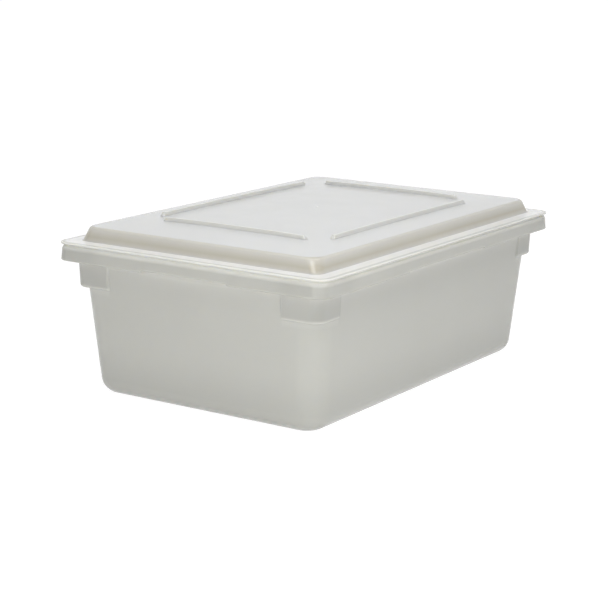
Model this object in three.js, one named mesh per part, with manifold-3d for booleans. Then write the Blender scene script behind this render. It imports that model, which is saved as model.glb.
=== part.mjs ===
// Food storage box with a lift-off lid, moulded in natural white polyethylene.
// Millimetres, +Z up, X along the length. The origin is the centre of the base, on the table.
import * as THREE from 'three';
import { mergeVertices } from 'three/addons/utils/BufferGeometryUtils.js';
import Module from 'manifold-3d';

const wasm = await Module();
wasm.setup();

// Plan outline, shared by the lower lip of the rim and the edge of the lid
const LENGTH = 660;
const WIDTH = 457;
const RIM_CORNER_RADIUS = 21;

// Tub: four drafted walls on a flat floor
const HEIGHT = 221.4;
const WALL = 3.5;
const FLOOR = 4;
const WALL_INSET = 17.6;
const WALL_DRAFT = 4.7;
const WALL_CORNER_RADIUS = 37;
const BASE_FILLET = 25;
const MOUTH_FILLET = 2;

// Rim: the wall rolls outwards over a shoulder and hangs down as a skirt
const RIM_WALL = 3.5;
const SHOULDER_RADIUS = 8;
const SKIRT_DEPTH = 22.8;
const SKIRT_WALL = 3;
const SKIRT_FLARE = 1.4;
const SKIRT_EDGE_RADIUS = 1.3;

// Shallow relief in the skirt's lower edge, in the middle of each side
const RELIEF_RISE = 2.7;
const RELIEF_LENGTH_X = 217;
const RELIEF_LENGTH_Y = 143;
const RELIEF_END_SLOPE = 45;

// Corner lugs below the rim, which stop nested boxes from jamming
const LUG_STEP = 0.3;
const LUG_DRAFT = 1.9;
const LUG_DROP = 39.6;
const LUG_REACH_X = 72.5;
const LUG_REACH_Y = 80.5;
const LUG_CORNER_RADIUS = 19;
const LUG_WALL = 4;
const LUG_EDGE_RADIUS = 3;

// Lid: flange on the rim, relieved under its edge for the fingertips, locating ring in the mouth
// and raised panel with a crown
const SEAT_GAP = 0.3;
const FLANGE = 2.8;
const FLANGE_EDGE_RADIUS = 1.1;
const GRIP_RELIEF = 0.7;
const GRIP_RELIEF_WIDTH = 10;
const RING_CLEARANCE = 1;
const RING_WALL = 2.2;
const RING_DEPTH = 8;
const RING_DRAFT = 3;
const RING_EDGE_RADIUS = 1;
const LID_WALL = 3;
const PANEL_SETBACK = 1.6;
const PANEL_RISE = 20.8;
const PANEL_DRAFT = 16.8;
const PANEL_FOOT_CORNER_RADIUS = 15;
const PANEL_TOP_CORNER_RADIUS = 20;
const PANEL_TOP_FILLET = 5.3;
const PANEL_FOOT_FILLET = 2.5;
const CROWN_RISE = 7.7;
const CROWN_POWER = 3;

// Four raised bars on the panel, laid out as a rectangle with open corners
const BAR_HEIGHT = 5.5;
const BAR_FOOT_WIDTH = 8;
const BAR_DRAFT = 18;
const BAR_END_DRAFT = 38;
const BAR_EDGE_CHAMFER = 0.8;
const BAR_INSET_X = 118;
const BAR_INSET_Y = 80.5;
const BAR_CORNER_GAP = 24.9;

// Facets, the overlap that a join or cut needs, and the least that rounding leaves
const CORNER_STEPS = 7;
const FILLET_STEPS = 5;
const SMALL_STEPS = 3;
const LID_STEPS_X = 12;
const LID_STEPS_Y = 9;
const PANEL_BANDS = 6;
const MIDDLE_STRIP = 16;
const BAR_STEPS = 12;
const MERGE = 1;
const LEAST_RADIUS = 0.5;
const EDGE_FLAT = 0.2;

const slope = (degrees) => Math.tan(THREE.MathUtils.degToRad(degrees));

// Insets are measured from the plan outline, so a larger inset lies nearer the middle
const wallInset = (z) => WALL_INSET + (HEIGHT - z) * slope(WALL_DRAFT);
const lugInset = (z) => WALL_INSET - LUG_STEP + (HEIGHT - z) * slope(LUG_DRAFT);
const skirtFoot = HEIGHT - SKIRT_DEPTH;
const lugFoot = skirtFoot - LUG_DROP;
const seat = HEIGHT + SEAT_GAP;
const flangeFoot = seat + GRIP_RELIEF;
const flangeTop = flangeFoot + FLANGE;
const panelTop = flangeTop + PANEL_RISE;
const ringInset = Math.max(wallInset(HEIGHT) + WALL, lugInset(HEIGHT) + LUG_WALL) + RING_CLEARANCE;
const ringCornerRadius = LUG_CORNER_RADIUS - LUG_WALL - RING_CLEARANCE;
const panelTilt = THREE.MathUtils.degToRad(PANEL_DRAFT);
const skinOffset = LID_WALL / Math.cos(panelTilt);
const hollowFootInset = ringInset + RING_WALL + PANEL_SETBACK;
const hollowInset = (z) => hollowFootInset + (z - seat) * slope(PANEL_DRAFT);
const panelInset = (z) => hollowInset(z) - skinOffset;
const panelCorner = (z) => THREE.MathUtils.mapLinear(
  z, flangeTop, panelTop, PANEL_FOOT_CORNER_RADIUS, PANEL_TOP_CORNER_RADIUS);
const plateauInset = panelInset(panelTop) - PANEL_TOP_FILLET * slope(PANEL_DRAFT)
  + PANEL_TOP_FILLET / Math.cos(panelTilt);

// Both edges of a wall are rounded, with a narrow flat left between them
const edgeRadius = (radius, wall) => Math.min(radius, (wall - EDGE_FLAT) / 2);

// Profile points on an arc. The angle is where the point lies as seen from the arc's centre:
// 0 is straight out, 90 straight up and 180 straight in.
function arc(inset, z, radius, from, to, steps) {
  return Array.from({ length: steps + 1 }, (_, i) => {
    const angle = THREE.MathUtils.degToRad(THREE.MathUtils.lerp(from, to, i / steps));
    return { inset: inset - radius * Math.cos(angle), z: z + radius * Math.sin(angle) };
  });
}

// Gives profile points one corner radius, radii that keep their rings parallel, or the panel's radii
const withCorner = (points, radius) => points.map((p) => ({ ...p, radius }));
const parallelTo = (points, inset, radius) =>
  points.map((p) => ({ ...p, radius: Math.max(radius - (p.inset - inset), LEAST_RADIUS) }));
const withPanelCorner = (points) => points.map((p) => ({ ...p, radius: panelCorner(p.z) }));

// The panel bulges like a pillow: highest in the middle, with straight edges
function crown(x, y) {
  const across = (value, half) => 1 - Math.min(Math.abs(value / half), 1) ** CROWN_POWER;
  return CROWN_RISE * across(x, LENGTH / 2 - plateauInset) * across(y, WIDTH / 2 - plateauInset);
}

// One rounded rectangle at a profile point, anticlockwise from the +X side
function ring({ inset, z, radius, crowned }, stepsX, stepsY) {
  const halfX = LENGTH / 2 - inset;
  const halfY = WIDTH / 2 - inset;
  const r = Math.min(radius, halfX, halfY);
  const corners = [[1, 1], [-1, 1], [-1, -1], [1, -1]].map(([sx, sy], quarter) =>
    Array.from({ length: CORNER_STEPS + 1 }, (_, i) => {
      const angle = (quarter + i / CORNER_STEPS) * Math.PI / 2;
      return new THREE.Vector2(
        sx * (halfX - r) + r * Math.cos(angle),
        sy * (halfY - r) + r * Math.sin(angle),
      );
    }));
  const points = corners.flatMap((corner, quarter) => {
    const next = corners[(quarter + 1) % 4][0];
    const steps = quarter % 2 ? stepsY : stepsX;
    const side = Array.from({ length: steps - 1 }, (_, i) =>
      corner[CORNER_STEPS].clone().lerp(next, (i + 1) / steps));
    return [...corner, ...side];
  });
  return points.map((p) => new THREE.Vector3(p.x, p.y, z + (crowned ? crown(p.x, p.y) : 0)));
}

// Skins rings of equal count into a closed body, with a fan over the first and the last ring
function skin(rings) {
  const count = rings[0].length;
  const middle = (loop) => {
    const centre = loop.reduce((sum, p) => sum.add(p), new THREE.Vector3()).divideScalar(count);
    centre.z = Math.max(...loop.map((p) => p.z));
    return centre;
  };
  const points = [...rings.flat(), middle(rings[0]), middle(rings.at(-1))];
  const index = [];
  for (let row = 0; row < rings.length - 1; row += 1) {
    for (let i = 0; i < count; i += 1) {
      const a = row * count + i;
      const b = row * count + (i + 1) % count;
      index.push(a, b, b + count, a, b + count, a + count);
    }
  }
  const first = rings.length * count;
  for (let i = 0; i < count; i += 1) {
    const next = (i + 1) % count;
    const top = (rings.length - 1) * count;
    index.push(first, next, i, first + 1, top + i, top + next);
  }
  const geometry = new THREE.BufferGeometry().setFromPoints(points);
  geometry.setIndex(index);
  return geometry;
}

const loft = (stations, stepsX = 1, stepsY = 1) =>
  solid(skin(stations.map((station) => ring(station, stepsX, stepsY))));

// A three.js geometry as a solid that can be joined and cut, and back again
function solid(geometry) {
  const bare = geometry.clone();
  bare.deleteAttribute('normal');
  bare.deleteAttribute('uv');
  const merged = mergeVertices(bare);
  return new wasm.Manifold(new wasm.Mesh({
    numProp: 3,
    vertProperties: Float32Array.from(merged.getAttribute('position').array),
    triVerts: Uint32Array.from(merged.getIndex().array),
  }));
}

function geometryOf(body) {
  const { vertProperties, triVerts } = body.getMesh();
  const geometry = new THREE.BufferGeometry();
  geometry.setAttribute('position', new THREE.BufferAttribute(vertProperties, 3));
  geometry.setIndex(new THREE.BufferAttribute(triVerts, 1));
  geometry.computeVertexNormals();
  return geometry;
}

// Tall blocks centred on the four corners of the plan, reaching in from the outline by given lengths
function cornerBlocks(reachX, reachY) {
  const block = solid(new THREE.BoxGeometry(2 * reachX, 2 * reachY, 4 * HEIGHT));
  return [[1, 1], [-1, 1], [-1, -1], [1, -1]]
    .map(([sx, sy]) => block.translate([sx * LENGTH / 2, sy * WIDTH / 2, 0]))
    .reduce((all, corner) => all.add(corner));
}

// Outside of the tub with its rim, filled: up the wall, under the rim, round the skirt and over
function tubOutside() {
  const filletTop = BASE_FILLET * (1 - slope(WALL_DRAFT));
  const filletInset = wallInset(filletTop) + BASE_FILLET;
  const base = parallelTo(
    arc(filletInset, BASE_FILLET, BASE_FILLET, -90, 0, FILLET_STEPS),
    filletInset - BASE_FILLET,
    WALL_CORNER_RADIUS,
  );
  const ceiling = HEIGHT - RIM_WALL;
  const wallTop = withCorner([{ inset: wallInset(ceiling), z: ceiling }], WALL_CORNER_RADIUS);
  const innerRadius = Math.max(SHOULDER_RADIUS - SKIRT_WALL, LEAST_RADIUS);
  const shoulderInset = SKIRT_FLARE + SHOULDER_RADIUS;
  const edge = edgeRadius(SKIRT_EDGE_RADIUS, SKIRT_WALL);
  const lip = skirtFoot + edge;
  const rim = parallelTo(
    [
      ...arc(SKIRT_FLARE + SKIRT_WALL + innerRadius, ceiling - innerRadius, innerRadius, 90, 0, SMALL_STEPS),
      ...arc(SKIRT_WALL - edge, lip, edge, 180, 270, SMALL_STEPS),
      ...arc(edge, lip, edge, 270, 360, SMALL_STEPS),
      ...arc(shoulderInset, HEIGHT - SHOULDER_RADIUS, SHOULDER_RADIUS, 0, 90, FILLET_STEPS),
    ],
    0,
    RIM_CORNER_RADIUS,
  );
  return loft([...base, ...wallTop, ...rim]);
}

// Inside of the tub as a plug: floor, rounded foot, drafted wall and a rounded mouth
function tubInside() {
  const fillet = Math.max(BASE_FILLET - WALL, LEAST_RADIUS);
  const innerInset = (z) => wallInset(z) + WALL;
  const filletInset = innerInset(FLOOR + fillet * (1 - slope(WALL_DRAFT))) + fillet;
  const cornerRadius = WALL_CORNER_RADIUS - WALL;
  const foot = parallelTo(
    arc(filletInset, FLOOR + fillet, fillet, -90, 0, FILLET_STEPS),
    filletInset - fillet,
    cornerRadius,
  );
  const mouthInset = innerInset(HEIGHT - MOUTH_FILLET);
  const mouth = withCorner(
    [
      ...arc(mouthInset - MOUTH_FILLET, HEIGHT - MOUTH_FILLET, MOUTH_FILLET, 180, 90, SMALL_STEPS),
      { inset: mouthInset - MOUTH_FILLET, z: HEIGHT + MERGE },
    ],
    cornerRadius,
  );
  return loft([...foot, ...mouth]);
}

// Lug blocks, and the pockets behind them that keep the corners at one wall thickness
function lugs() {
  const edgeTop = lugFoot + LUG_EDGE_RADIUS;
  const edgeInset = lugInset(edgeTop) + LUG_EDGE_RADIUS;
  const outside = parallelTo(
    [
      ...arc(edgeInset, edgeTop, LUG_EDGE_RADIUS, -90, 0, SMALL_STEPS),
      { inset: lugInset(HEIGHT - RIM_WALL / 2), z: HEIGHT - RIM_WALL / 2 },
    ],
    lugInset(edgeTop),
    LUG_CORNER_RADIUS,
  );
  return loft(outside).intersect(cornerBlocks(LUG_REACH_X, LUG_REACH_Y));
}

function lugPockets() {
  const floor = lugFoot + LUG_WALL;
  const mouthFoot = HEIGHT - MOUTH_FILLET;
  const pocketInset = (z) => lugInset(z) + LUG_WALL;
  const inside = withCorner(
    [
      { inset: pocketInset(floor), z: floor },
      ...arc(pocketInset(mouthFoot) - MOUTH_FILLET, mouthFoot, MOUTH_FILLET, 180, 90, SMALL_STEPS),
      { inset: pocketInset(mouthFoot) - MOUTH_FILLET, z: HEIGHT + MERGE },
    ],
    LUG_CORNER_RADIUS - LUG_WALL,
  );
  return loft(inside).intersect(cornerBlocks(LUG_REACH_X - LUG_WALL, LUG_REACH_Y - LUG_WALL));
}

// A wedge that takes the relief out of one side of the skirt, short of the wall behind it
function skirtRelief(length, halfPlan, turn) {
  const top = skirtFoot + RELIEF_RISE;
  const foot = skirtFoot - MERGE;
  const spread = (top - foot) / slope(RELIEF_END_SLOPE);
  const face = new THREE.Shape([
    new THREE.Vector2(-length / 2 - spread, foot),
    new THREE.Vector2(length / 2 + spread, foot),
    new THREE.Vector2(length / 2, top),
    new THREE.Vector2(-length / 2, top),
  ]);
  const depth = SKIRT_FLARE + SKIRT_WALL + 2 * MERGE;
  const wedge = new THREE.ExtrudeGeometry(face, { depth, bevelEnabled: false });
  wedge.rotateX(Math.PI / 2);
  wedge.translate(0, halfPlan + MERGE, 0);
  wedge.rotateZ(turn);
  return solid(wedge);
}

function makeBox() {
  const reliefs = [0, Math.PI].flatMap((turn) => [
    skirtRelief(RELIEF_LENGTH_X, WIDTH / 2, turn),
    skirtRelief(RELIEF_LENGTH_Y, LENGTH / 2, turn + Math.PI / 2),
  ]);
  const hollow = tubInside().add(lugPockets());
  return reliefs.reduce((body, relief) => body.subtract(relief), tubOutside()).add(lugs()).subtract(hollow);
}

// Rings across the panel, from its edge towards the middle line
function panelRings(z) {
  const lastInset = (WIDTH - MIDDLE_STRIP) / 2;
  return Array.from({ length: PANEL_BANDS }, (_, i) => ({
    inset: THREE.MathUtils.lerp(plateauInset, lastInset, (i + 1) / PANEL_BANDS),
    z,
    radius: PANEL_TOP_CORNER_RADIUS,
    crowned: true,
  }));
}

// One moulding: under the panel, down its hollow, round the locating ring and flange, and back over
function lidShell() {
  const hollowFillet = Math.max(PANEL_TOP_FILLET - LID_WALL, LEAST_RADIUS);
  const underside = withPanelCorner([
    ...arc(plateauInset, panelTop - LID_WALL - hollowFillet, hollowFillet, 90, PANEL_DRAFT, SMALL_STEPS),
    { inset: hollowFootInset, z: seat },
  ]);
  const ringFoot = seat - RING_DEPTH;
  const ringShift = RING_DEPTH * slope(RING_DRAFT);
  const ringEdge = edgeRadius(RING_EDGE_RADIUS, RING_WALL);
  const ringFootInset = ringInset + ringShift;
  const locatingRing = parallelTo(
    [
      { inset: ringInset + RING_WALL + ringShift, z: seat },
      ...arc(ringFootInset + RING_WALL - ringEdge, ringFoot + ringEdge, ringEdge, 180, 270, SMALL_STEPS),
      ...arc(ringFootInset + ringEdge, ringFoot + ringEdge, ringEdge, 270, 360, SMALL_STEPS),
      { inset: ringInset, z: seat },
    ],
    ringInset,
    ringCornerRadius,
  );
  const edge = edgeRadius(FLANGE_EDGE_RADIUS, FLANGE);
  const flange = parallelTo(
    [
      { inset: GRIP_RELIEF_WIDTH + GRIP_RELIEF, z: seat },
      { inset: GRIP_RELIEF_WIDTH, z: flangeFoot },
      ...arc(edge, flangeFoot + edge, edge, -90, 0, SMALL_STEPS),
      ...arc(edge, flangeTop - edge, edge, 0, 90, SMALL_STEPS),
    ],
    0,
    RIM_CORNER_RADIUS,
  );
  const footRise = PANEL_FOOT_FILLET * (1 - Math.sin(panelTilt));
  const footInset = panelInset(flangeTop + footRise) - PANEL_FOOT_FILLET * Math.cos(panelTilt);
  const outside = withPanelCorner([
    ...arc(footInset, flangeTop + PANEL_FOOT_FILLET, PANEL_FOOT_FILLET, 270, 180 + PANEL_DRAFT, SMALL_STEPS),
    ...arc(plateauInset, panelTop - PANEL_TOP_FILLET, PANEL_TOP_FILLET, PANEL_DRAFT, 90, FILLET_STEPS),
  ]);
  const stations = [
    ...panelRings(panelTop - LID_WALL).reverse(),
    ...underside,
    ...locatingRing,
    ...flange,
    ...outside,
    ...panelRings(panelTop),
  ];
  return loft(stations, LID_STEPS_X, LID_STEPS_Y);
}

// A raised bar with drafted sides and ends, which follows the crown of the panel
function panelBar(centre, along, halfLength) {
  const across = new THREE.Vector2(-along.y, along.x);
  const half = BAR_FOOT_WIDTH / 2;
  const side = (height) => half - height * slope(BAR_DRAFT);
  const shoulder = BAR_HEIGHT - BAR_EDGE_CHAMFER;
  const topHalf = side(shoulder) - BAR_EDGE_CHAMFER;
  const section = [
    [side(-MERGE), -MERGE],
    [side(shoulder), shoulder],
    [topHalf, BAR_HEIGHT],
    [-topHalf, BAR_HEIGHT],
    [-side(shoulder), shoulder],
    [-side(-MERGE), -MERGE],
  ];
  const sections = Array.from({ length: BAR_STEPS + 1 }, (_, i) => {
    const share = 2 * i / BAR_STEPS - 1;
    return section.map(([offset, height]) => {
      const reach = share * (halfLength - height * slope(BAR_END_DRAFT));
      const at = centre.clone().addScaledVector(along, reach).addScaledVector(across, offset);
      return new THREE.Vector3(at.x, at.y, panelTop + crown(at.x, at.y) + height);
    });
  });
  return solid(skin(sections));
}

function makeLid() {
  const barX = LENGTH / 2 - BAR_INSET_X;
  const barY = WIDTH / 2 - BAR_INSET_Y;
  const alongX = new THREE.Vector2(1, 0);
  const alongY = new THREE.Vector2(0, 1);
  const bars = [-1, 1].flatMap((sign) => [
    panelBar(new THREE.Vector2(0, sign * barY), alongX, barX - BAR_CORNER_GAP),
    panelBar(new THREE.Vector2(sign * barX, 0), alongY, barY - BAR_CORNER_GAP),
  ]);
  return bars.reduce((body, bar) => body.add(bar), lidShell());
}

function moulding(name, body, colour, roughness) {
  const material = new THREE.MeshStandardMaterial({ color: colour, roughness, metalness: 0 });
  const mesh = new THREE.Mesh(geometryOf(body), material);
  mesh.name = name;
  return mesh;
}

const storageBox = new THREE.Group();
storageBox.add(moulding('box', makeBox(), 0xd2d3cf, 0.5));
storageBox.add(moulding('lid', makeLid(), 0xdfe0de, 0.42));

export default storageBox;
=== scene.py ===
import math

import bpy
import numpy as np
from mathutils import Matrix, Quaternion, Vector


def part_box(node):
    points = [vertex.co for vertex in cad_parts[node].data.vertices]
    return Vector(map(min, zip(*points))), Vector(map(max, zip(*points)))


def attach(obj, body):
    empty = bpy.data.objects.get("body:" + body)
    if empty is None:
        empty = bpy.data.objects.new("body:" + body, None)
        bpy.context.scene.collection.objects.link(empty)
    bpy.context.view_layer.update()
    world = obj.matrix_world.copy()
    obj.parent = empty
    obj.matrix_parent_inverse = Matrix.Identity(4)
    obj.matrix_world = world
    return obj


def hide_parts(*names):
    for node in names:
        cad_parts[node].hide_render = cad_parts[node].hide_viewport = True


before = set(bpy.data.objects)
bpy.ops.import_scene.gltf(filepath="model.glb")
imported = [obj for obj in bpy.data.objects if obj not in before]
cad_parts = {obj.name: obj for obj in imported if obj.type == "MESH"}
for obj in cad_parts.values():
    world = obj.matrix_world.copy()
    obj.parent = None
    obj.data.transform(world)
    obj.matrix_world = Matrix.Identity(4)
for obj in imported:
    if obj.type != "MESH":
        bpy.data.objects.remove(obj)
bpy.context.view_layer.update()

# Box: one injection moulding in natural white polyethylene, a deep tub with drafted walls.
# The wall rolls outwards over a shoulder and hangs down as a skirt, which is the carrying grip.
# A hollow lug under each corner of the rim stops nested boxes from jamming.
mm = 0.001
box_low, box_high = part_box("box")
length = box_high.x - box_low.x
width = box_high.y - box_low.y
rim_top = box_high.z

wall = 3.5 * mm
wall_inset = 17.6 * mm
wall_draft = math.tan(math.radians(4.7))
wall_corner = 37 * mm
foot_fillet = 25 * mm
floor_thickness = 4 * mm
mouth_fillet = 2 * mm

rim_corner = 21 * mm
rim_wall = 3.5 * mm
shoulder = 8 * mm
skirt_foot = rim_top - 22.8 * mm
skirt_wall = 3 * mm
skirt_flare = 1.4 * mm
skirt_edge = 1.3 * mm

relief_rise = 2.7 * mm
relief_half_x = 108.5 * mm
relief_half_y = 71.5 * mm

lug_inset = 17.3 * mm
lug_draft = math.tan(math.radians(1.9))
lug_foot = skirt_foot - 39.6 * mm
lug_corner = 19 * mm
lug_wall = 4 * mm
lug_edge = 3 * mm
lug_reach_x = 72.5 * mm
lug_reach_y = 80.5 * mm
lug_blend = 1.6 * mm

# How far the painted light and painted shade reach on the wall, and how strong each is there.
foot_shade = 80 * mm
foot_deep = 0.4
foot_pale = 0.06
lug_shade = 10 * mm
lug_foot_pale = 0.1
lug_edge_pale = 0.05
lug_face_deep = 0.6
lug_face_fade = 0.45
lug_flat_share = 0.6
under_shade = 7 * mm
under_fade = 3 * mm
under_pale = 0.15
skirt_side_pale = 0.3
skirt_deep = 0.25
skirt_foot_deep = 0.2
skirt_lug_deep = 0.3
shoulder_gain = 1.4
corner_deep = 0.03

least_corner = 0.3 * mm
seam_reach = 0.001 * mm
corner_steps = 18


def arc(inset, z, radius, start, stop, steps):
    """Profile points on an arc: 0 degrees is outwards, 90 up and 180 inwards from its centre."""
    angles = np.radians(np.linspace(start, stop, steps + 1))
    return [(inset - radius * math.cos(a), z + radius * math.sin(a)) for a in angles]


def straight(start, stop, steps):
    """Profile points between two points, without the first."""
    shares = np.linspace(0, 1, steps + 1)[1:]
    return [tuple(np.array(start) * (1 - s) + np.array(stop) * s) for s in shares]


def parallel(points, inset, corner, **extra):
    """Rows whose corners stay parallel to one corner at one inset."""
    return [
        {"inset": i, "z": z, "corner": max(corner - (i - inset), least_corner), **extra}
        for i, z in points
    ]


def wall_at(z):
    """Inset of the wall's outer face at a height."""
    return wall_inset + (rim_top - z) * wall_draft


def lug_at(z):
    """Inset of a lug's outer face at a height."""
    return lug_inset + (rim_top - z) * lug_draft


def box_outside():
    """Rows from the middle of the base up the wall to the ceiling under the rim."""
    fillet_inset = wall_at(foot_fillet * (1 - wall_draft)) + foot_fillet
    ceiling = rim_top - rim_wall
    rows = parallel(
        [(width / 2, 0), *arc(fillet_inset, foot_fillet, foot_fillet, -90, 0, 14)],
        fillet_inset - foot_fillet,
        wall_corner,
    )
    rows[0]["corner"] = 0
    plain = np.linspace(foot_fillet, lug_foot - lug_shade, 9)[1:]
    rows += [{"inset": wall_at(z), "z": z, "corner": wall_corner} for z in plain]
    # Painted shade low on the wall, where the box shades the floor's bounce, and painted light on the
    # foot's rounding.
    for row in rows:
        under = max(1 - row["z"] / foot_fillet, 0)
        row["deep"] = foot_deep * max(1 - row["z"] / foot_shade - under, 0)
        row["pale"] = foot_pale * under
    # Painted light rising towards the lugs' feet, and a painted highlight on their rounded lower edge.
    for share in np.linspace(0, 1, 6)[1:]:
        z = lug_foot - lug_shade * (1 - share)
        tone = lug_foot_pale * share
        rows.append({"inset": wall_at(z), "z": z, "corner": wall_corner, "lug_pale": tone})
    for a in np.radians(np.linspace(0, 90, 8)):
        z = lug_foot + lug_edge * (1 - math.cos(a))
        rows.append(lug_row(z, lug_edge * (1 - math.sin(a)), lug_pale=lug_edge_pale))
    # Painted shade on the lugs' doubled walls, strongest low down and fading towards the skirt.
    lug_face = np.linspace(lug_foot + lug_edge, skirt_foot - under_shade, 12)[1:]
    hidden = np.linspace(skirt_foot - under_shade, ceiling, 6)[1:]
    for z in (*lug_face, *hidden):
        up = (z - lug_foot) / (skirt_foot - lug_foot)
        rows.append(lug_row(z, 0, lug_deep=max(lug_face_deep - lug_face_fade * up * up, 0)))
    return rows


def lug_row(z, drawn_in, **tones):
    """A row of the wall where the lugs stand out, with painted light towards the skirt, where its shade
    falls.
    """
    rising = min((z - lug_foot) / (skirt_foot - lug_foot), 1) ** 3
    close = math.exp(-max(skirt_foot - under_shade - z, 0) / under_fade)
    return {
        "inset": wall_at(z), "z": z, "corner": wall_corner,
        "lug": 1, "lug_inset": lug_at(z) + drawn_in, "lug_corner": lug_corner - drawn_in,
        "pale": skirt_side_pale * rising + under_pale * close, **tones,
    }


def box_rim():
    """Rows round the skirt and over the shoulder to the top of the rim."""
    ceiling = rim_top - rim_wall
    inner = shoulder - skirt_wall
    lip = skirt_foot + skirt_edge
    inside = arc(skirt_flare + skirt_wall + inner, ceiling - inner, inner, 90, 0, 6)
    foot = arc(skirt_wall - skirt_edge, lip, skirt_edge, 180, 270, 5)
    foot += arc(skirt_edge, lip, skirt_edge, 270, 360, 5)
    over = arc(skirt_flare + shoulder, rim_top - shoulder, shoulder, 0, 90, 12)
    down = inside + straight(inside[-1], foot[0], 4)[:-1]
    up = straight(foot[-1], over[0], 5)[:-1]
    rows = parallel(down + foot + up + over, 0, rim_corner)
    # Painted shade on the skirt and its lip, and painted light up the shoulder where the flange shades
    # it.
    for row in rows:
        row["lift"] = min(max((over[0][1] - row["z"]) / (over[0][1] - lip), 0), 1)
        row["deep"] = skirt_deep
        row["lug_deep"] = skirt_lug_deep
    for row in rows[len(down):len(down + foot)]:
        row["deep"] = skirt_foot_deep
    for share, row in zip(np.linspace(0, 1, len(over)), rows[-len(over):]):
        row["deep"] *= 1 - share
        row["lug_deep"] *= 1 - share
        row["pale"] = min(shoulder_gain * share, 1)
    return rows


def box_inside():
    """Rows from the mouth down the inner wall, with the lugs' pockets, to the middle of the floor."""
    fillet = foot_fillet - wall
    corner = wall_corner - wall
    pocket_floor = lug_foot + lug_wall
    mouth_foot = rim_top - mouth_fillet
    rows = []
    for a in np.radians(np.linspace(90, 180, 6)):
        z = mouth_foot + mouth_fillet * math.sin(a)
        drawn_in = mouth_fillet * (1 + math.cos(a))
        wall_face = wall_at(mouth_foot) + wall - drawn_in
        lug_face = lug_at(mouth_foot) + lug_wall - drawn_in
        rows.append((wall_face, z, 1, lug_face))
    for z in np.linspace(mouth_foot, pocket_floor, 9)[1:]:
        rows.append((wall_at(z) + wall, z, 1, lug_at(z) + lug_wall))
    rows.append((wall_at(pocket_floor) + wall, pocket_floor, 0, 0))
    for z in np.linspace(pocket_floor, foot_fillet + floor_thickness, 8)[1:]:
        rows.append((wall_at(z) + wall, z, 0, 0))
    rows = [
        {"inset": i, "z": z, "corner": corner, "lug": lug, "lug_inset": lug_i,
         "lug_corner": lug_corner - lug_wall, "reach": lug_wall}
        for i, z, lug, lug_i in rows
    ]
    fillet_inset = wall_at(floor_thickness + fillet * (1 - wall_draft)) + wall + fillet
    foot = arc(fillet_inset, floor_thickness + fillet, fillet, 0, -90, 10)
    rows += parallel([*foot, (width / 2, floor_thickness)], fillet_inset - fillet, corner)
    rows[-1]["corner"] = 0
    return rows


def profile_object(name, rows, fields):
    """Rows as the points of a mesh, with each field as an attribute for a node tree to read."""
    mesh = bpy.data.meshes.new(name)
    mesh.from_pydata([(row["inset"], 0, row["z"]) for row in rows], [], [])
    for field in fields:
        attribute = mesh.attributes.new(field, "FLOAT", "POINT")
        attribute.data.foreach_set("value", [float(row.get(field, 0)) for row in rows])
    made = bpy.data.objects.new(name, mesh)
    bpy.context.scene.collection.objects.link(made)
    return made


def plan_object(name, steps, shares_x, shares_y):
    """Stations round a rounded rectangle: where each lies between the corners, and which way it faces."""
    stations = []
    for quarter, (sx, sy) in enumerate([(1, 1), (-1, 1), (-1, -1), (1, -1)]):
        for step in range(steps + 1):
            angle = (quarter + step / steps) * math.pi / 2
            stations.append((sx, sy, math.cos(angle), math.sin(angle)))
        along_x = quarter % 2 == 0
        for share in shares_x if along_x else shares_y:
            if along_x:
                stations.append((-sx * share, sy, 0, sy))
            else:
                stations.append((sx, -sy * share, sx, 0))
    rows = [
        {"inset": ux, "z": uy, "between_x": ux, "between_y": uy, "facing_x": dx, "facing_y": dy}
        for ux, uy, dx, dy in stations
    ]
    return profile_object(name, rows, ("between_x", "between_y", "facing_x", "facing_y"))


class Term:
    """A value in a node tree that can stand in a formula: each sign adds one Math node."""

    def __init__(self, tree, socket):
        self.tree = tree
        self.socket = socket

    def led_into(self, kind, result, *others, **settings):
        """A new node that takes this value and others in its first slots."""
        node = self.tree.nodes.new(kind)
        for key, value in settings.items():
            setattr(node, key, value)
        for slot, value in zip(node.inputs, (self, *others)):
            if isinstance(value, Term):
                self.tree.links.new(value.socket, slot)
            else:
                slot.default_value = value
        return Term(self.tree, node.outputs[result])

    def math(self, operation, *others):
        """The result of one Math node."""
        return self.led_into("ShaderNodeMath", "Value", *others, operation=operation)

    def __add__(self, other):
        return self.math("ADD", other)

    def __sub__(self, other):
        return self.math("SUBTRACT", other)

    def __mul__(self, other):
        return self.math("MULTIPLY", other)

    def __truediv__(self, other):
        return self.math("DIVIDE", other)

    def __abs__(self):
        return self.math("ABSOLUTE")

    def mixed(self, other, share):
        """This value at a share of 0, the other at 1, and an even mix between."""
        return self + (other - self) * share

    def rising(self, start, stop):
        """0 before start and 1 after stop, with a smooth step between."""
        smooth = {"interpolation_type": "SMOOTHSTEP"}
        return self.led_into("ShaderNodeMapRange", "Result", start, stop, **smooth)


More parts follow.
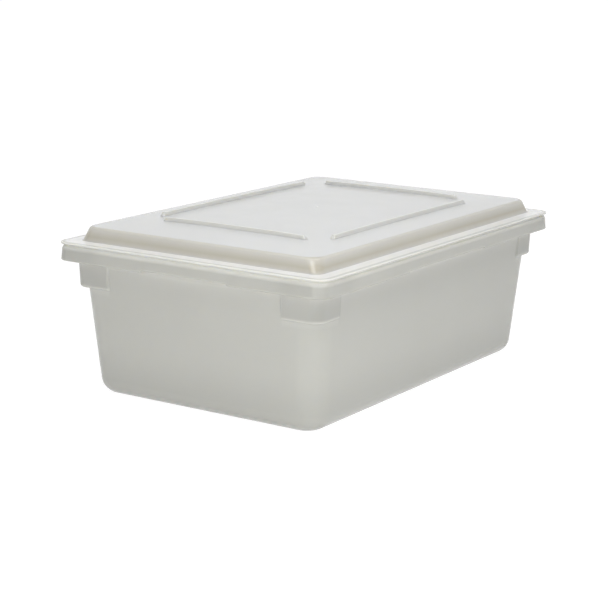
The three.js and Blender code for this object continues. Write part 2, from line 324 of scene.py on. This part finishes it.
class Shaping:
    """A geometry tree with named inputs, in which a sheet of points is shaped by formulas."""

    def __init__(self, name, sizes):
        self.tree = bpy.data.node_groups.new(name, "GeometryNodeTree")
        kinds = {"Profile": "Geometry", "Stations": "Object", "Material": "Material"}
        for label in ("Profile", "Stations", *sizes, "Material"):
            kind = "NodeSocket" + kinds.get(label, "Float")
            self.tree.interface.new_socket(label, in_out="INPUT", socket_type=kind)
        self.tree.interface.new_socket("Piece", in_out="OUTPUT", socket_type="NodeSocketGeometry")
        self.given = self.tree.nodes.new("NodeGroupInput")
        self.sizes = {label: Term(self.tree, self.given.outputs[label]) for label in sizes}

    def node(self, kind, links=None, **settings):
        """A new node with its settings, and with links or plain values in its named slots."""
        made = self.tree.nodes.new(kind)
        for key, value in settings.items():
            setattr(made, key, value)
        for slot, source in (links or {}).items():
            if isinstance(source, Term):
                source = source.socket
            if isinstance(source, bpy.types.NodeSocket):
                self.tree.links.new(source, made.inputs[slot])
            else:
                made.inputs[slot].default_value = source
        return made

    def count(self, geometry):
        """How many points a geometry has."""
        counted = self.node("GeometryNodeAttributeDomainSize", {"Geometry": geometry})
        return Term(self.tree, counted.outputs["Point Count"])

    def index(self):
        """The number of each point."""
        return Term(self.tree, self.node("GeometryNodeInputIndex").outputs["Index"])

    def sheet(self, seam=1):
        """A grid with a row for each profile point and a column for each station and for the seam."""
        profile = self.given.outputs["Profile"]
        placed = self.node("GeometryNodeObjectInfo", {"Object": self.given.outputs["Stations"]})
        stations = placed.outputs["Geometry"]
        rows = self.count(profile)
        columns = self.count(stations)
        index = self.index()
        row = index.math("FLOORED_MODULO", rows)
        column = (index / rows).math("FLOOR").math("FLOORED_MODULO", columns)

        def reader(geometry, at):
            def read(field):
                named = self.node("GeometryNodeInputNamedAttribute", {"Name": field}, data_type="FLOAT")
                links = {"Geometry": geometry, "Value": named.outputs["Attribute"], "Index": at}
                picked = self.node("GeometryNodeSampleIndex", links, data_type="FLOAT", domain="POINT")
                return Term(self.tree, picked.outputs["Value"])
            return read

        self.row = reader(profile, row)
        self.station = reader(stations, column)
        return self.node("GeometryNodeMeshGrid", {"Vertices X": columns + seam, "Vertices Y": rows})

    def ring(self, inset, corner):
        """Where a station lies on the rounded rectangle of a row."""
        half_x = self.sizes["Length"] * 0.5 - inset
        half_y = self.sizes["Width"] * 0.5 - inset
        x = self.station("between_x") * (half_x - corner) + self.station("facing_x") * corner
        y = self.station("between_y") * (half_y - corner) + self.station("facing_y") * corner
        return x, y

    def placed(self, sheet, x, y, z, **kept):
        """Moves the sheet's points, keeps the given fields on them, and closes the seams."""
        mesh = sheet.outputs["Mesh"]
        for field, value in kept.items():
            links = {"Geometry": mesh, "Name": field, "Value": value}
            store = self.node("GeometryNodeStoreNamedAttribute", links, data_type="FLOAT", domain="POINT")
            mesh = store.outputs["Geometry"]
        position = self.node("ShaderNodeCombineXYZ", {"X": x, "Y": y, "Z": z}).outputs["Vector"]
        moved = self.node("GeometryNodeSetPosition", {"Geometry": mesh, "Position": position})
        links = {"Geometry": moved.outputs["Geometry"], "Distance": seam_reach}
        merged = self.node("GeometryNodeMergeByDistance", links)
        return merged.outputs["Geometry"]

    def end(self, geometry):
        """Shades the piece smoothly, gives it the material and leads it out of the tree."""
        smooth = self.node("GeometryNodeSetShadeSmooth", {"Geometry": geometry})
        real = self.node("GeometryNodeRealizeInstances", {"Geometry": smooth.outputs["Geometry"]})
        links = {"Geometry": real.outputs["Geometry"], "Material": self.given.outputs["Material"]}
        finished = self.node("GeometryNodeSetMaterial", links)
        out = self.node("NodeGroupOutput")
        self.tree.links.new(finished.outputs["Geometry"], out.inputs["Piece"])

    def make(self, profile, stations, values, material):
        """Runs the tree on a profile object, which becomes a plain mesh."""
        modifier = profile.modifiers.new(self.tree.name, "NODES")
        modifier.node_group = self.tree
        given = {"Stations": stations, "Material": material, **values}
        for item in self.tree.interface.items_tree:
            if item.in_out == "INPUT" and item.name in given:
                modifier[item.identifier] = given[item.name]
        profile.update_tag()
        graph = bpy.context.evaluated_depsgraph_get()
        mesh = bpy.data.meshes.new_from_object(profile.evaluated_get(graph), depsgraph=graph)
        profile.modifiers.clear()
        old = profile.data
        profile.data = mesh
        bpy.data.meshes.remove(old)
        mesh.name = profile.name
        return profile


def shares_with(edges, coarse):
    """Even shares of a side, closer together where an edge crosses it."""
    fine = [np.linspace(low, high, count) for low, high, count in edges]
    one_side = np.concatenate([np.linspace(0, 1, coarse), *fine])
    return np.unique(np.round(np.concatenate([-one_side, one_side]), 5))[1:-1]


def white_polyethylene(name, colour, tints, roughness, gloss, grain, depth):
    """Natural polyethylene: milky and slightly cloudy, with a fine moulded grain and a rare dark speck.

    Each tint is painted light or painted shade, laid on where the attribute of its name says: it stands
    in for the light that thin, doubled and hollow walls pass and for the shade under overhangs and in
    corners.
    The first tint is also the polished one.
    """
    cloud_scale = 7
    cloud_tone = 0.98
    speck_scale = 16
    speck_inner = 0.004
    speck_outer = 0.010
    speck_strength = 0.5
    speck_colour = (0.25, 0.24, 0.21)
    patch_scale = 18
    smoother = roughness - 0.03
    rougher = roughness + 0.04
    grain_scale = 1400
    grain_height = 0.05 * mm
    scatter_colour = (1.0, 0.95, 0.8)

    material = bpy.data.materials.new(name)
    material.use_nodes = True
    nodes = material.node_tree.nodes
    links = material.node_tree.links
    shader = nodes["Principled BSDF"]

    def node(kind, **settings):
        made = nodes.new(kind)
        for key, value in settings.items():
            setattr(made, key, value)
        return made

    def noise(scale, detail):
        made = node("ShaderNodeTexNoise")
        made.inputs["Scale"].default_value = scale
        made.inputs["Detail"].default_value = detail
        links.new(place.outputs["Object"], made.inputs["Vector"])
        return made.outputs["Fac"]

    def mix(share, first, second):
        """A mix of two colours, whose slots in the node are 6 and 7."""
        made = node("ShaderNodeMix", data_type="RGBA")
        for slot, value in zip((0, 6, 7), (share, first, second)):
            if isinstance(value, bpy.types.NodeSocket):
                links.new(value, made.inputs[slot])
            else:
                made.inputs[slot].default_value = (*value, 1)
        return made.outputs[2]

    def spread(value, low, high, to_low, to_high):
        """A value that goes from one range evenly to another."""
        made = node("ShaderNodeMapRange")
        links.new(value, made.inputs["Value"])
        ends = {"From Min": low, "From Max": high, "To Min": to_low, "To Max": to_high}
        for slot, number in ends.items():
            made.inputs[slot].default_value = number
        return made.outputs["Result"]

    place = node("ShaderNodeTexCoord")
    cloud = spread(noise(cloud_scale, detail=3), 0.35, 0.65, 0, 1)
    tone = mix(cloud, tuple(c * cloud_tone for c in colour), colour)
    for field, tint in tints.items():
        where = node("ShaderNodeAttribute", attribute_name=field)
        tone = mix(where.outputs["Fac"], tone, tint)
    specks = node("ShaderNodeTexVoronoi")
    specks.inputs["Scale"].default_value = speck_scale
    links.new(place.outputs["Object"], specks.inputs["Vector"])
    speck = spread(specks.outputs["Distance"], speck_inner, speck_outer, speck_strength, 0)
    tone = mix(speck, tone, speck_colour)
    links.new(tone, shader.inputs["Base Color"])

    patchy = spread(noise(patch_scale, detail=4), 0.3, 0.7, smoother, rougher)
    links.new(patchy, shader.inputs["Roughness"])
    bump = node("ShaderNodeBump")
    bump.inputs["Strength"].default_value = grain
    bump.inputs["Distance"].default_value = grain_height
    links.new(noise(grain_scale, detail=2), bump.inputs["Height"])
    links.new(bump.outputs["Normal"], shader.inputs["Normal"])

    shader.inputs["Subsurface Weight"].default_value = 1.0
    shader.inputs["Subsurface Radius"].default_value = scatter_colour
    shader.inputs["Subsurface Scale"].default_value = depth
    plain_gloss, polished_gloss = gloss
    polished = node("ShaderNodeAttribute", attribute_name=next(iter(tints)))
    shine = spread(polished.outputs["Fac"], 0, 1, plain_gloss, polished_gloss)
    links.new(shine, shader.inputs["Specular IOR Level"])
    return material


box_sizes = {
    "Length": length,
    "Width": width,
    "Lug Reach X": lug_reach_x,
    "Lug Reach Y": lug_reach_y,
    "Lug Blend": lug_blend,
    "Relief Half X": relief_half_x,
    "Relief Half Y": relief_half_y,
    "Relief Rise": relief_rise,
}
tub = Shaping("moulded tub", box_sizes)
tub_sheet = tub.sheet()
size = tub.sizes
wall_x, wall_y = tub.ring(tub.row("inset"), tub.row("corner"))
lug_x, lug_y = tub.ring(tub.row("lug_inset"), tub.row("lug_corner"))
lug_from_x = size["Length"] * 0.5 - size["Lug Reach X"] + tub.row("reach")
lug_from_y = size["Width"] * 0.5 - size["Lug Reach Y"] + tub.row("reach")
at_lug = (
    abs(wall_x).rising(lug_from_x - size["Lug Blend"], lug_from_x + size["Lug Blend"])
    * abs(wall_y).rising(lug_from_y - size["Lug Blend"], lug_from_y + size["Lug Blend"])
)
in_lug = at_lug * tub.row("lug")
wall_end_x = size["Length"] * 0.5 - tub.row("inset") - tub.row("corner")
wall_end_y = size["Width"] * 0.5 - tub.row("inset") - tub.row("corner")
tub_x = wall_x.mixed(lug_x, in_lug * abs(wall_x).rising(lug_from_x, wall_end_x))
tub_y = wall_y.mixed(lug_y, in_lug * abs(wall_y).rising(lug_from_y, wall_end_y))
past_relief_x = abs(tub_x).rising(size["Relief Half X"], size["Relief Half X"] + size["Relief Rise"])
past_relief_y = abs(tub_y).rising(size["Relief Half Y"], size["Relief Half Y"] + size["Relief Rise"])
facing_x = tub.station("facing_x")
facing_y = tub.station("facing_y")
no_relief = past_relief_x * facing_y * facing_y + past_relief_y * facing_x * facing_x
relief = facing_x * facing_x + facing_y * facing_y - no_relief
tub_z = tub.row("z") + size["Relief Rise"] * tub.row("lift") * relief
# Painted light and painted shade from the rows; the shade is heavier on the lugs and round the corners.
pale = tub.row("pale").math("MAXIMUM", at_lug * tub.row("lug_pale"))
turning = abs(facing_x * facing_y) * 2
lug_deep = at_lug * tub.row("lug_deep") * (turning * (1 - lug_flat_share) + lug_flat_share)
deep = tub.row("deep") + lug_deep + turning * corner_deep
tub.end(tub.placed(tub_sheet, tub_x, tub_y, tub_z, pale=pale, deep=deep))


def relief_edges(half_relief, half_side):
    """The band of a side in which the relief ends: from and to as shares of the side, and steps."""
    between = half_side - rim_corner
    before = half_relief - 2 * mm
    after = half_relief + 5 * mm
    return before / between, after / between, 9


# The bands in which the lugs' sides leave the wall, in the same form.
lug_edges_x = (0.925, 0.985, 22)
lug_edges_y = (0.845, 0.92, 18)
box_stations = plan_object(
    "box_stations", corner_steps,
    shares_with([relief_edges(relief_half_x, length / 2), lug_edges_x], coarse=15),
    shares_with([relief_edges(relief_half_y, width / 2), lug_edges_y], coarse=11),
)
box_fields = ("inset", "z", "corner", "lug", "lug_inset", "lug_corner", "reach", "lift",
              "pale", "lug_pale", "deep", "lug_deep")
box = profile_object("storage_box", box_outside() + box_rim() + box_inside(), box_fields)
box_colour = (0.505, 0.505, 0.473)
# The first tint is painted light and the second painted shade, laid over the box's own colour.
box_tints = {"pale": (0.94, 0.935, 0.89), "deep": (0.335, 0.335, 0.315)}
box_plastic = white_polyethylene(
    "box_polyethylene", box_colour, box_tints,
    roughness=0.2, gloss=(0.5, 0.5), grain=0.1, depth=5 * mm,
)
tub.make(box, box_stations, box_sizes, box_plastic)
bpy.data.objects.remove(box_stations)
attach(box, "box")
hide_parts("box")

# Lid: a second moulding in the same polyethylene, lifted straight off by hand.
# A flat flange lies on the rim, a ring under it drops into the mouth, and the middle is a raised
# panel with drafted sides and a slight crown that stiffens it.
ring_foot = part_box("lid")[0].z
seat = rim_top + 0.3 * mm
grip_relief = 0.7 * mm
grip_relief_width = 10 * mm
flange_foot = seat + grip_relief
flange_top = flange_foot + 2.8 * mm
flange_edge = 1.1 * mm
flange_under_edge = 0.5 * mm
flange_border = 5 * mm
flange_polish = 8 * mm
ring_inset = 22.3 * mm
ring_wall = 2.2 * mm
ring_shift = 0.42 * mm
ring_edge = 1 * mm
ring_corner = 14 * mm
lid_wall = 3 * mm
panel_top = flange_top + 20.8 * mm
panel_tilt = math.radians(16.8)
panel_foot_inset = 24.0 * mm
panel_foot_corner = 15 * mm
panel_top_corner = 20 * mm
panel_fillet = 5.3 * mm
panel_foot_fillet = 2.5 * mm
crown_rise = 7.7 * mm
crown_power = 3
crown_steps = 30

# How strong the painted shade on the sides is, from the flange's edge up to the edge of the panel's top,
# and how much more the corners get.
flange_edge_side = 0.15
flange_border_side = 0.1
panel_foot_side = 0.35
panel_low_side = 0.9
panel_high_side = 0.5
panel_brow_side = 0.6
panel_top_side = 0.4
panel_corner_gain = 0.35


def panel_at(z):
    """Inset of the panel's drafted side at a height."""
    return panel_foot_inset + (z - flange_top) * math.tan(panel_tilt)


def panel_rows(points, **extra):
    """Rows of the panel, whose corners widen evenly from its foot to its top."""
    rows = []
    for inset, z in points:
        share = (z - flange_top) / (panel_top - flange_top)
        corner = panel_foot_corner + (panel_top_corner - panel_foot_corner) * share
        rows.append({"inset": inset, "z": z, "corner": corner, **extra})
    return rows


plateau_inset = panel_at(panel_top) + panel_fillet * (1 / math.cos(panel_tilt) - math.tan(panel_tilt))


def crowned_rows(z):
    """Rows across the panel from its edge to the middle line."""
    insets = np.linspace(plateau_inset, width / 2, crown_steps + 1)[1:]
    return [
        {"inset": i, "z": z, "corner": min(panel_top_corner, width / 2 - i), "crown": 1} for i in insets
    ]


def lid_underside():
    """Rows down the panel's hollow, round the locating ring and out to the relief under the edge."""
    draft = math.degrees(panel_tilt)
    hollow_fillet = panel_fillet - lid_wall
    hollow_foot = panel_at(seat) + lid_wall / math.cos(panel_tilt)
    hollow = arc(plateau_inset, panel_top - lid_wall - hollow_fillet, hollow_fillet, 90, draft, 5)
    foot_inset = ring_inset + ring_shift
    ring = [(ring_inset + ring_wall + ring_shift, seat)]
    ring += arc(foot_inset + ring_wall - ring_edge, ring_foot + ring_edge, ring_edge, 180, 270, 4)
    ring += arc(foot_inset + ring_edge, ring_foot + ring_edge, ring_edge, 270, 360, 4)
    ring += [(ring_inset, seat)]
    grip = [(grip_relief_width + grip_relief, seat), (grip_relief_width, flange_foot)]
    # The relief under the flange's edge gets painted light over its shade.
    return (
        crowned_rows(panel_top - lid_wall)[::-1]
        + panel_rows(hollow + [(hollow_foot, seat)])
        + parallel(ring, ring_inset, ring_corner)
        + parallel(grip, 0, rim_corner, pale=1)
    )


def lid_topside():
    """Rows round the flange's edge, over it and up the panel's side to the middle of its top."""
    draft = math.degrees(panel_tilt)
    edge = arc(flange_under_edge, flange_foot + flange_under_edge, flange_under_edge, -90, 0, 4)
    brim = arc(flange_edge, flange_top - flange_edge, flange_edge, 0, 90, 6)
    foot_rise = panel_foot_fillet * (1 - math.sin(panel_tilt))
    foot_inset = panel_at(flange_top + foot_rise) - panel_foot_fillet * math.cos(panel_tilt)
    foot = arc(foot_inset, flange_top + panel_foot_fillet, panel_foot_fillet, 270, 180 + draft, 5)
    brow = arc(plateau_inset, panel_top - panel_fillet, panel_fillet, draft, 90, 10)
    side = straight(foot[-1], brow[0], 12)[:-1]
    border = brim[2:] + [(flange_border, flange_top)]
    # Painted shade on the flange's edge and border, painted light on the flange and the panel's foot, and
    # painted shade up the panel's side.
    return (
        parallel(edge + brim[:1], 0, rim_corner, side=flange_edge_side)
        + parallel(border, 0, rim_corner, side=flange_border_side)
        + parallel([(flange_polish, flange_top)], 0, rim_corner, pale=1)
        + panel_rows(foot[:2], pale=1)
        + fading_rows(foot[2:] + side[:4], panel_foot_side, panel_low_side)
        + fading_rows(side[4:], panel_low_side, panel_high_side)
        + fading_rows(brow[:8], panel_high_side, panel_brow_side)
        + fading_rows(brow[8:], panel_top_side, 0)
        + crowned_rows(panel_top)
    )


def fading_rows(points, start, stop):
    """Rows up the panel's side, over which the painted shade changes evenly."""
    rows = panel_rows(points)
    for share, row in zip(np.linspace(start, stop, len(rows)), rows):
        row["side"] = share
    return rows


lid_sizes = {
    "Length": length,
    "Width": width,
    "Crown Half X": length / 2 - plateau_inset,
    "Crown Half Y": width / 2 - plateau_inset,
    "Crown Rise": crown_rise,
    "Crown Power": crown_power,
}


def crown_over(shaping, x, y):
    """Height of the pillow crown over the panel's edge: highest in the middle, with straight edges."""
    across_x = abs(x / shaping.sizes["Crown Half X"]).math("MINIMUM", 1)
    across_y = abs(y / shaping.sizes["Crown Half Y"]).math("MINIMUM", 1)
    falling_x = across_x.math("POWER", shaping.sizes["Crown Power"]) * -1 + 1
    falling_y = across_y.math("POWER", shaping.sizes["Crown Power"]) * -1 + 1
    return shaping.sizes["Crown Rise"] * falling_x * falling_y


cover = Shaping("moulded lid", lid_sizes)
cover_sheet = cover.sheet()
cover_x, cover_y = cover.ring(cover.row("inset"), cover.row("corner"))
cover_z = cover.row("z") + cover.row("crown") * crown_over(cover, cover_x, cover_y)
# Painted shade on the panel's sides, heavier round the corners.
cover_turning = abs(cover.station("facing_x") * cover.station("facing_y")) * 2
cover_painted_shade = cover.row("side") * (cover_turning * panel_corner_gain + 1)
cover.end(cover.placed(
    cover_sheet, cover_x, cover_y, cover_z, side=cover_painted_shade, pale=cover.row("pale")))

lid_stations = plan_object(
    "lid_stations", corner_steps, shares_with([], coarse=25), shares_with([], coarse=19))
lid = profile_object(
    "storage_lid", lid_underside() + lid_topside(), ("inset", "z", "corner", "crown", "side", "pale"))
lid_colour = (0.595, 0.602, 0.597)
# The first tint is painted shade on the panel's sides, the bars' flanks and the flange's edge; the second
# is painted light.
lid_tints = {"side": (0.415, 0.39, 0.325), "pale": (0.755, 0.755, 0.74)}
lid_plastic = white_polyethylene(
    "lid_polyethylene", lid_colour, lid_tints,
    roughness=0.15, gloss=(0.12, 0.7), grain=0.03, depth=6 * mm,
)
cover.make(lid, lid_stations, lid_sizes, lid_plastic)
bpy.data.objects.remove(lid_stations)
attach(lid, "lid")
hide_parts("lid")

# Gate mark: the small nub in the middle of the panel where the plastic entered the mould.
# It is part of the lid's moulding, left standing when the runner was broken off.
gate_radius = 2.3 * mm
gate_height = 0.7 * mm
gate_sink = 0.5 * mm
gate_steps = 8


def gate_rows():
    """Rows from below the panel's skin up the nub's rounded side to its middle."""
    middle = panel_top + crown_rise
    around = [(gate_radius, middle - gate_sink), (0, middle - gate_sink)]
    around += [
        (gate_radius * (1 - math.cos(a)), middle + gate_height * math.sin(a))
        for a in np.linspace(0, math.pi / 2, 7)
    ]
    # The nub is painted light all over.
    rows = parallel(around, 0, gate_radius, pale=1)
    rows[0]["corner"] = 0
    rows[-1]["corner"] = 0
    return rows


gate_sizes = {"Length": 2 * gate_radius, "Width": 2 * gate_radius}
nub = Shaping("gate nub", gate_sizes)
nub_sheet = nub.sheet()
nub_x, nub_y = nub.ring(nub.row("inset"), nub.row("corner"))
nub.end(nub.placed(nub_sheet, nub_x, nub_y, nub.row("z"), pale=nub.row("pale")))
gate_stations = plan_object("gate_stations", gate_steps, (), ())
gate_mark = profile_object("lid_gate_mark", gate_rows(), ("inset", "z", "corner", "pale"))
nub.make(gate_mark, gate_stations, gate_sizes, lid_plastic)
bpy.data.objects.remove(gate_stations)
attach(gate_mark, "lid")

# Bars: four straight ribs moulded on the panel, laid out as a rectangle with open corners.
# They stiffen the panel and keep a box that is stacked on it from sliding.
bar_height = 5.5 * mm
bar_foot_half = 4 * mm
bar_draft = math.tan(math.radians(18))
bar_edge = 0.8 * mm
bar_sink = 1 * mm
bar_end_round = 1.5 * mm
bar_end_draft = math.tan(math.radians(38))
bar_end_face = 0.85
bar_past_end = 0.5 * mm
bar_steps = 24
# How strong the painted shade on the bars' flanks is.
bar_flank_shade = 0.28
bar_out_x = length / 2 - 118 * mm
bar_out_y = width / 2 - 80.5 * mm
bar_corner_gap = 24.9 * mm


def bar_section():
    """Points round the section, from the foot up one flank, over the rounded top and down the other."""
    tilt = math.atan(bar_draft)
    middle = bar_foot_half - bar_draft * bar_height - bar_edge * math.tan(math.pi / 4 - tilt / 2)
    rounding = [
        (middle + bar_edge * math.cos(a), bar_height - bar_edge * (1 - math.sin(a)))
        for a in np.linspace(tilt, math.pi / 2, 5)
    ]
    flank = [-bar_sink, 0, 0.1 * bar_height, 0.5 * bar_height, rounding[0][1] - 0.1 * bar_height]
    right = [(bar_foot_half - bar_draft * h, h) for h in flank] + rounding
    left = [(-offset, height) for offset, height in right[::-1]]
    # Painted shade on the flanks, up to the middle of the rounded top.
    tinted = rounding[2][1]
    return [
        {"inset": o, "z": h, "offset": o, "height": h, "side": bar_flank_shade if h <= tinted else 0}
        for o, h in right + left + right[:1]
    ]


def bar_stations():
    """Stations along a bar, with its ends drawn in to round them."""
    turn = [math.radians(a) for a in np.linspace(0, 90, 5)]
    narrow = bar_end_round / bar_foot_half
    ends = [(bar_end_round * (1 - math.sin(a)), 1 - narrow * (1 - math.cos(a))) for a in turn]
    end_face = [(0, bar_end_face * (1 - narrow)), (0, 0)]
    past_end = bar_end_round + bar_past_end
    along = [(-1, pull, squeeze) for pull, squeeze in end_face[::-1] + ends[::-1] + [(past_end, 1)]]
    along += [(share, bar_end_round, 1) for share in np.linspace(-1, 1, bar_steps + 1)[1:-1]]
    along += [(1, pull, squeeze) for pull, squeeze in [(past_end, 1)] + ends + end_face]
    rows = [{"inset": s, "z": p, "share": s, "pull": p, "squeeze": q} for s, p, q in along]
    return profile_object("bar_stations", rows, ("share", "pull", "squeeze"))


bar_sizes = {
    "Half Length X": bar_out_x - bar_corner_gap,
    "Half Length Y": bar_out_y - bar_corner_gap,
    "Out X": bar_out_x,
    "Out Y": bar_out_y,
    "End Draft": bar_end_draft,
    "Panel Top": panel_top,
    **{label: value for label, value in lid_sizes.items() if label.startswith("Crown")},
}
bars_tree = Shaping("panel bars", bar_sizes)
bar_sheet = bars_tree.sheet(seam=0)
size = bars_tree.sizes
sideways = bars_tree.row("offset") * bars_tree.station("squeeze")
drawn_in = bars_tree.station("pull") + bars_tree.row("height") * size["End Draft"]
along_x = bars_tree.station("share") * (size["Half Length X"] - drawn_in)
along_y = bars_tree.station("share") * (size["Half Length Y"] - drawn_in)
bar_pairs = bars_tree.node("GeometryNodeJoinGeometry")
for x, y in ((along_x, sideways * -1 - size["Out Y"]), (size["Out X"] + sideways, along_y)):
    z = size["Panel Top"] + crown_over(bars_tree, x, y) + bars_tree.row("height")
    bar = bars_tree.placed(bar_sheet, x, y, z, side=bars_tree.row("side"))
    spots = bars_tree.node("GeometryNodePoints", {"Count": 2})
    turned = bars_tree.node("ShaderNodeCombineXYZ", {"Z": bars_tree.index() * math.pi})
    links = {"Points": spots.outputs["Points"], "Instance": bar, "Rotation": turned.outputs["Vector"]}
    pair = bars_tree.node("GeometryNodeInstanceOnPoints", links)
    bars_tree.tree.links.new(pair.outputs["Instances"], bar_pairs.inputs["Geometry"])
bars_tree.end(bar_pairs.outputs["Geometry"])

along_bar = bar_stations()
bars = profile_object("lid_bars", bar_section(), ("offset", "height", "side"))
bars_tree.make(bars, along_bar, bar_sizes, lid_plastic)
bpy.data.objects.remove(along_bar)
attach(bars, "lid")

# Studio: a white paper floor under even daylight, with a narrow key lamp, two low ones and a broad
# one overhead. The camera is where the photograph was taken from, with its long lens and slight roll.
floor_half = 20.0
paper_bounce = (0.8, 0.8, 0.79, 1)
paper_seen = (0.16, 0.16, 0.16, 1)
paper_glow = 0.95
sky_low = 1.0
sky_high = 0.45
sky_fade_height = 0.25
lamp_aim = Vector((0, 0, 0.15))
floor_mesh = bpy.data.meshes.new("studio_floor")
floor_corners = [(-floor_half, -floor_half, 0), (floor_half, -floor_half, 0),
                 (floor_half, floor_half, 0), (-floor_half, floor_half, 0)]
floor_mesh.from_pydata(floor_corners, [], [(0, 1, 2, 3)])
studio_floor = bpy.data.objects.new("studio_floor", floor_mesh)
bpy.context.scene.collection.objects.link(studio_floor)


def looked_at(nodes, links):
    """A value of 1 for what the camera sees, also in a reflection or through the plastic."""
    path = nodes.new("ShaderNodeLightPath")
    seen = path.outputs["Is Camera Ray"]
    for kind in ("Is Glossy Ray", "Is Transmission Ray"):
        either = nodes.new("ShaderNodeMath")
        either.operation = "MAXIMUM"
        links.new(seen, either.inputs[0])
        links.new(path.outputs[kind], either.inputs[1])
        seen = either.outputs[0]
    return seen


def white_floor():
    """Matt paper: white to the camera apart from the object's shadow, and a modest bounce of light."""
    material = bpy.data.materials.new("studio_paper")
    material.use_nodes = True
    nodes = material.node_tree.nodes
    links = material.node_tree.links
    nodes.clear()
    seen = looked_at(nodes, links)
    tone = nodes.new("ShaderNodeMix")
    tone.data_type = "RGBA"
    tone.inputs[6].default_value = paper_bounce
    tone.inputs[7].default_value = paper_seen
    links.new(seen, tone.inputs[0])
    paper = nodes.new("ShaderNodeBsdfDiffuse")
    links.new(tone.outputs[2], paper.inputs["Color"])
    glow = nodes.new("ShaderNodeEmission")
    level = nodes.new("ShaderNodeMath")
    level.operation = "MULTIPLY"
    level.inputs[1].default_value = paper_glow
    links.new(seen, level.inputs[0])
    links.new(level.outputs[0], glow.inputs["Strength"])
    both = nodes.new("ShaderNodeAddShader")
    links.new(paper.outputs[0], both.inputs[0])
    links.new(glow.outputs[0], both.inputs[1])
    out = nodes.new("ShaderNodeOutputMaterial")
    links.new(both.outputs[0], out.inputs["Surface"])
    return material


floor_mesh.materials.append(white_floor())

world = bpy.data.worlds.new("studio")
bpy.context.scene.world = world
world.use_nodes = True
world_nodes = world.node_tree.nodes
world_links = world.node_tree.links
backdrop = world_nodes["Background"]
backdrop.inputs["Color"].default_value = (1.0, 1.0, 1.0, 1)
sky = world_nodes.new("ShaderNodeTexCoord")
height = world_nodes.new("ShaderNodeSeparateXYZ")
world_links.new(sky.outputs["Generated"], height.inputs[0])
fading = world_nodes.new("ShaderNodeMapRange")
fading.inputs["From Max"].default_value = sky_fade_height
fading.inputs["To Min"].default_value = sky_low
fading.inputs["To Max"].default_value = sky_high
world_links.new(height.outputs["Z"], fading.inputs["Value"])
# The node mixes its slots 2 and 3: what the sky gives as light, and the white that is seen.
level = world_nodes.new("ShaderNodeMix")
level.inputs[3].default_value = 1.0
world_links.new(looked_at(world_nodes, world_links), level.inputs[0])
world_links.new(fading.outputs["Result"], level.inputs[2])
world_links.new(level.outputs[0], backdrop.inputs["Strength"])


def soft_box(name, azimuth, elevation, distance, wide, high, roll, power):
    """A rectangular soft lamp that looks at the object from a compass angle and a height."""
    across = math.radians(azimuth)
    up = math.radians(elevation)
    away = Vector((math.sin(across) * math.cos(up), -math.cos(across) * math.cos(up), math.sin(up)))
    lamp = bpy.data.lights.new(name, "AREA")
    lamp.shape = "RECTANGLE"
    lamp.size = wide
    lamp.size_y = high
    lamp.energy = power
    made = bpy.data.objects.new(name, lamp)
    made.location = lamp_aim + away * distance
    made.rotation_mode = "QUATERNION"
    upright = (-away).to_track_quat("-Z", "Y")
    made.rotation_quaternion = upright @ Quaternion((0, 0, 1), math.radians(roll))
    made.visible_camera = False
    bpy.context.scene.collection.objects.link(made)


soft_box("key", azimuth=-68.3, elevation=34.7, distance=1.94, wide=0.9, high=0.2, roll=17, power=2.5)
soft_box("low", azimuth=-61, elevation=12, distance=1.6, wide=1.5, high=0.48, roll=0, power=7.7)
soft_box("side", azimuth=-25, elevation=8, distance=1.6, wide=1.2, high=0.3, roll=0, power=2.3)
soft_box("top", azimuth=-35, elevation=70, distance=2.3, wide=1.5, high=1.5, roll=0, power=28)

view_azimuth = math.radians(-56.35)
view_elevation = math.radians(12.89)
view_distance = 2.63268
view_roll = math.radians(0.58)
view_target = Vector((-0.00978, 0.01469, 0.10327))
view_back = Vector((
    math.sin(view_azimuth) * math.cos(view_elevation),
    -math.cos(view_azimuth) * math.cos(view_elevation),
    math.sin(view_elevation),
))
camera = bpy.data.objects.new("camera", bpy.data.cameras.new("camera"))
camera.data.sensor_width = 36
camera.data.lens = 102.45
camera.location = view_target + view_back * view_distance
camera.rotation_mode = "QUATERNION"
camera.rotation_quaternion = (-view_back).to_track_quat("-Z", "Y") @ Quaternion((0, 0, 1), view_roll)
bpy.context.scene.collection.objects.link(camera)
bpy.context.scene.camera = camera
bpy.context.scene.view_settings.view_transform = "Standard"
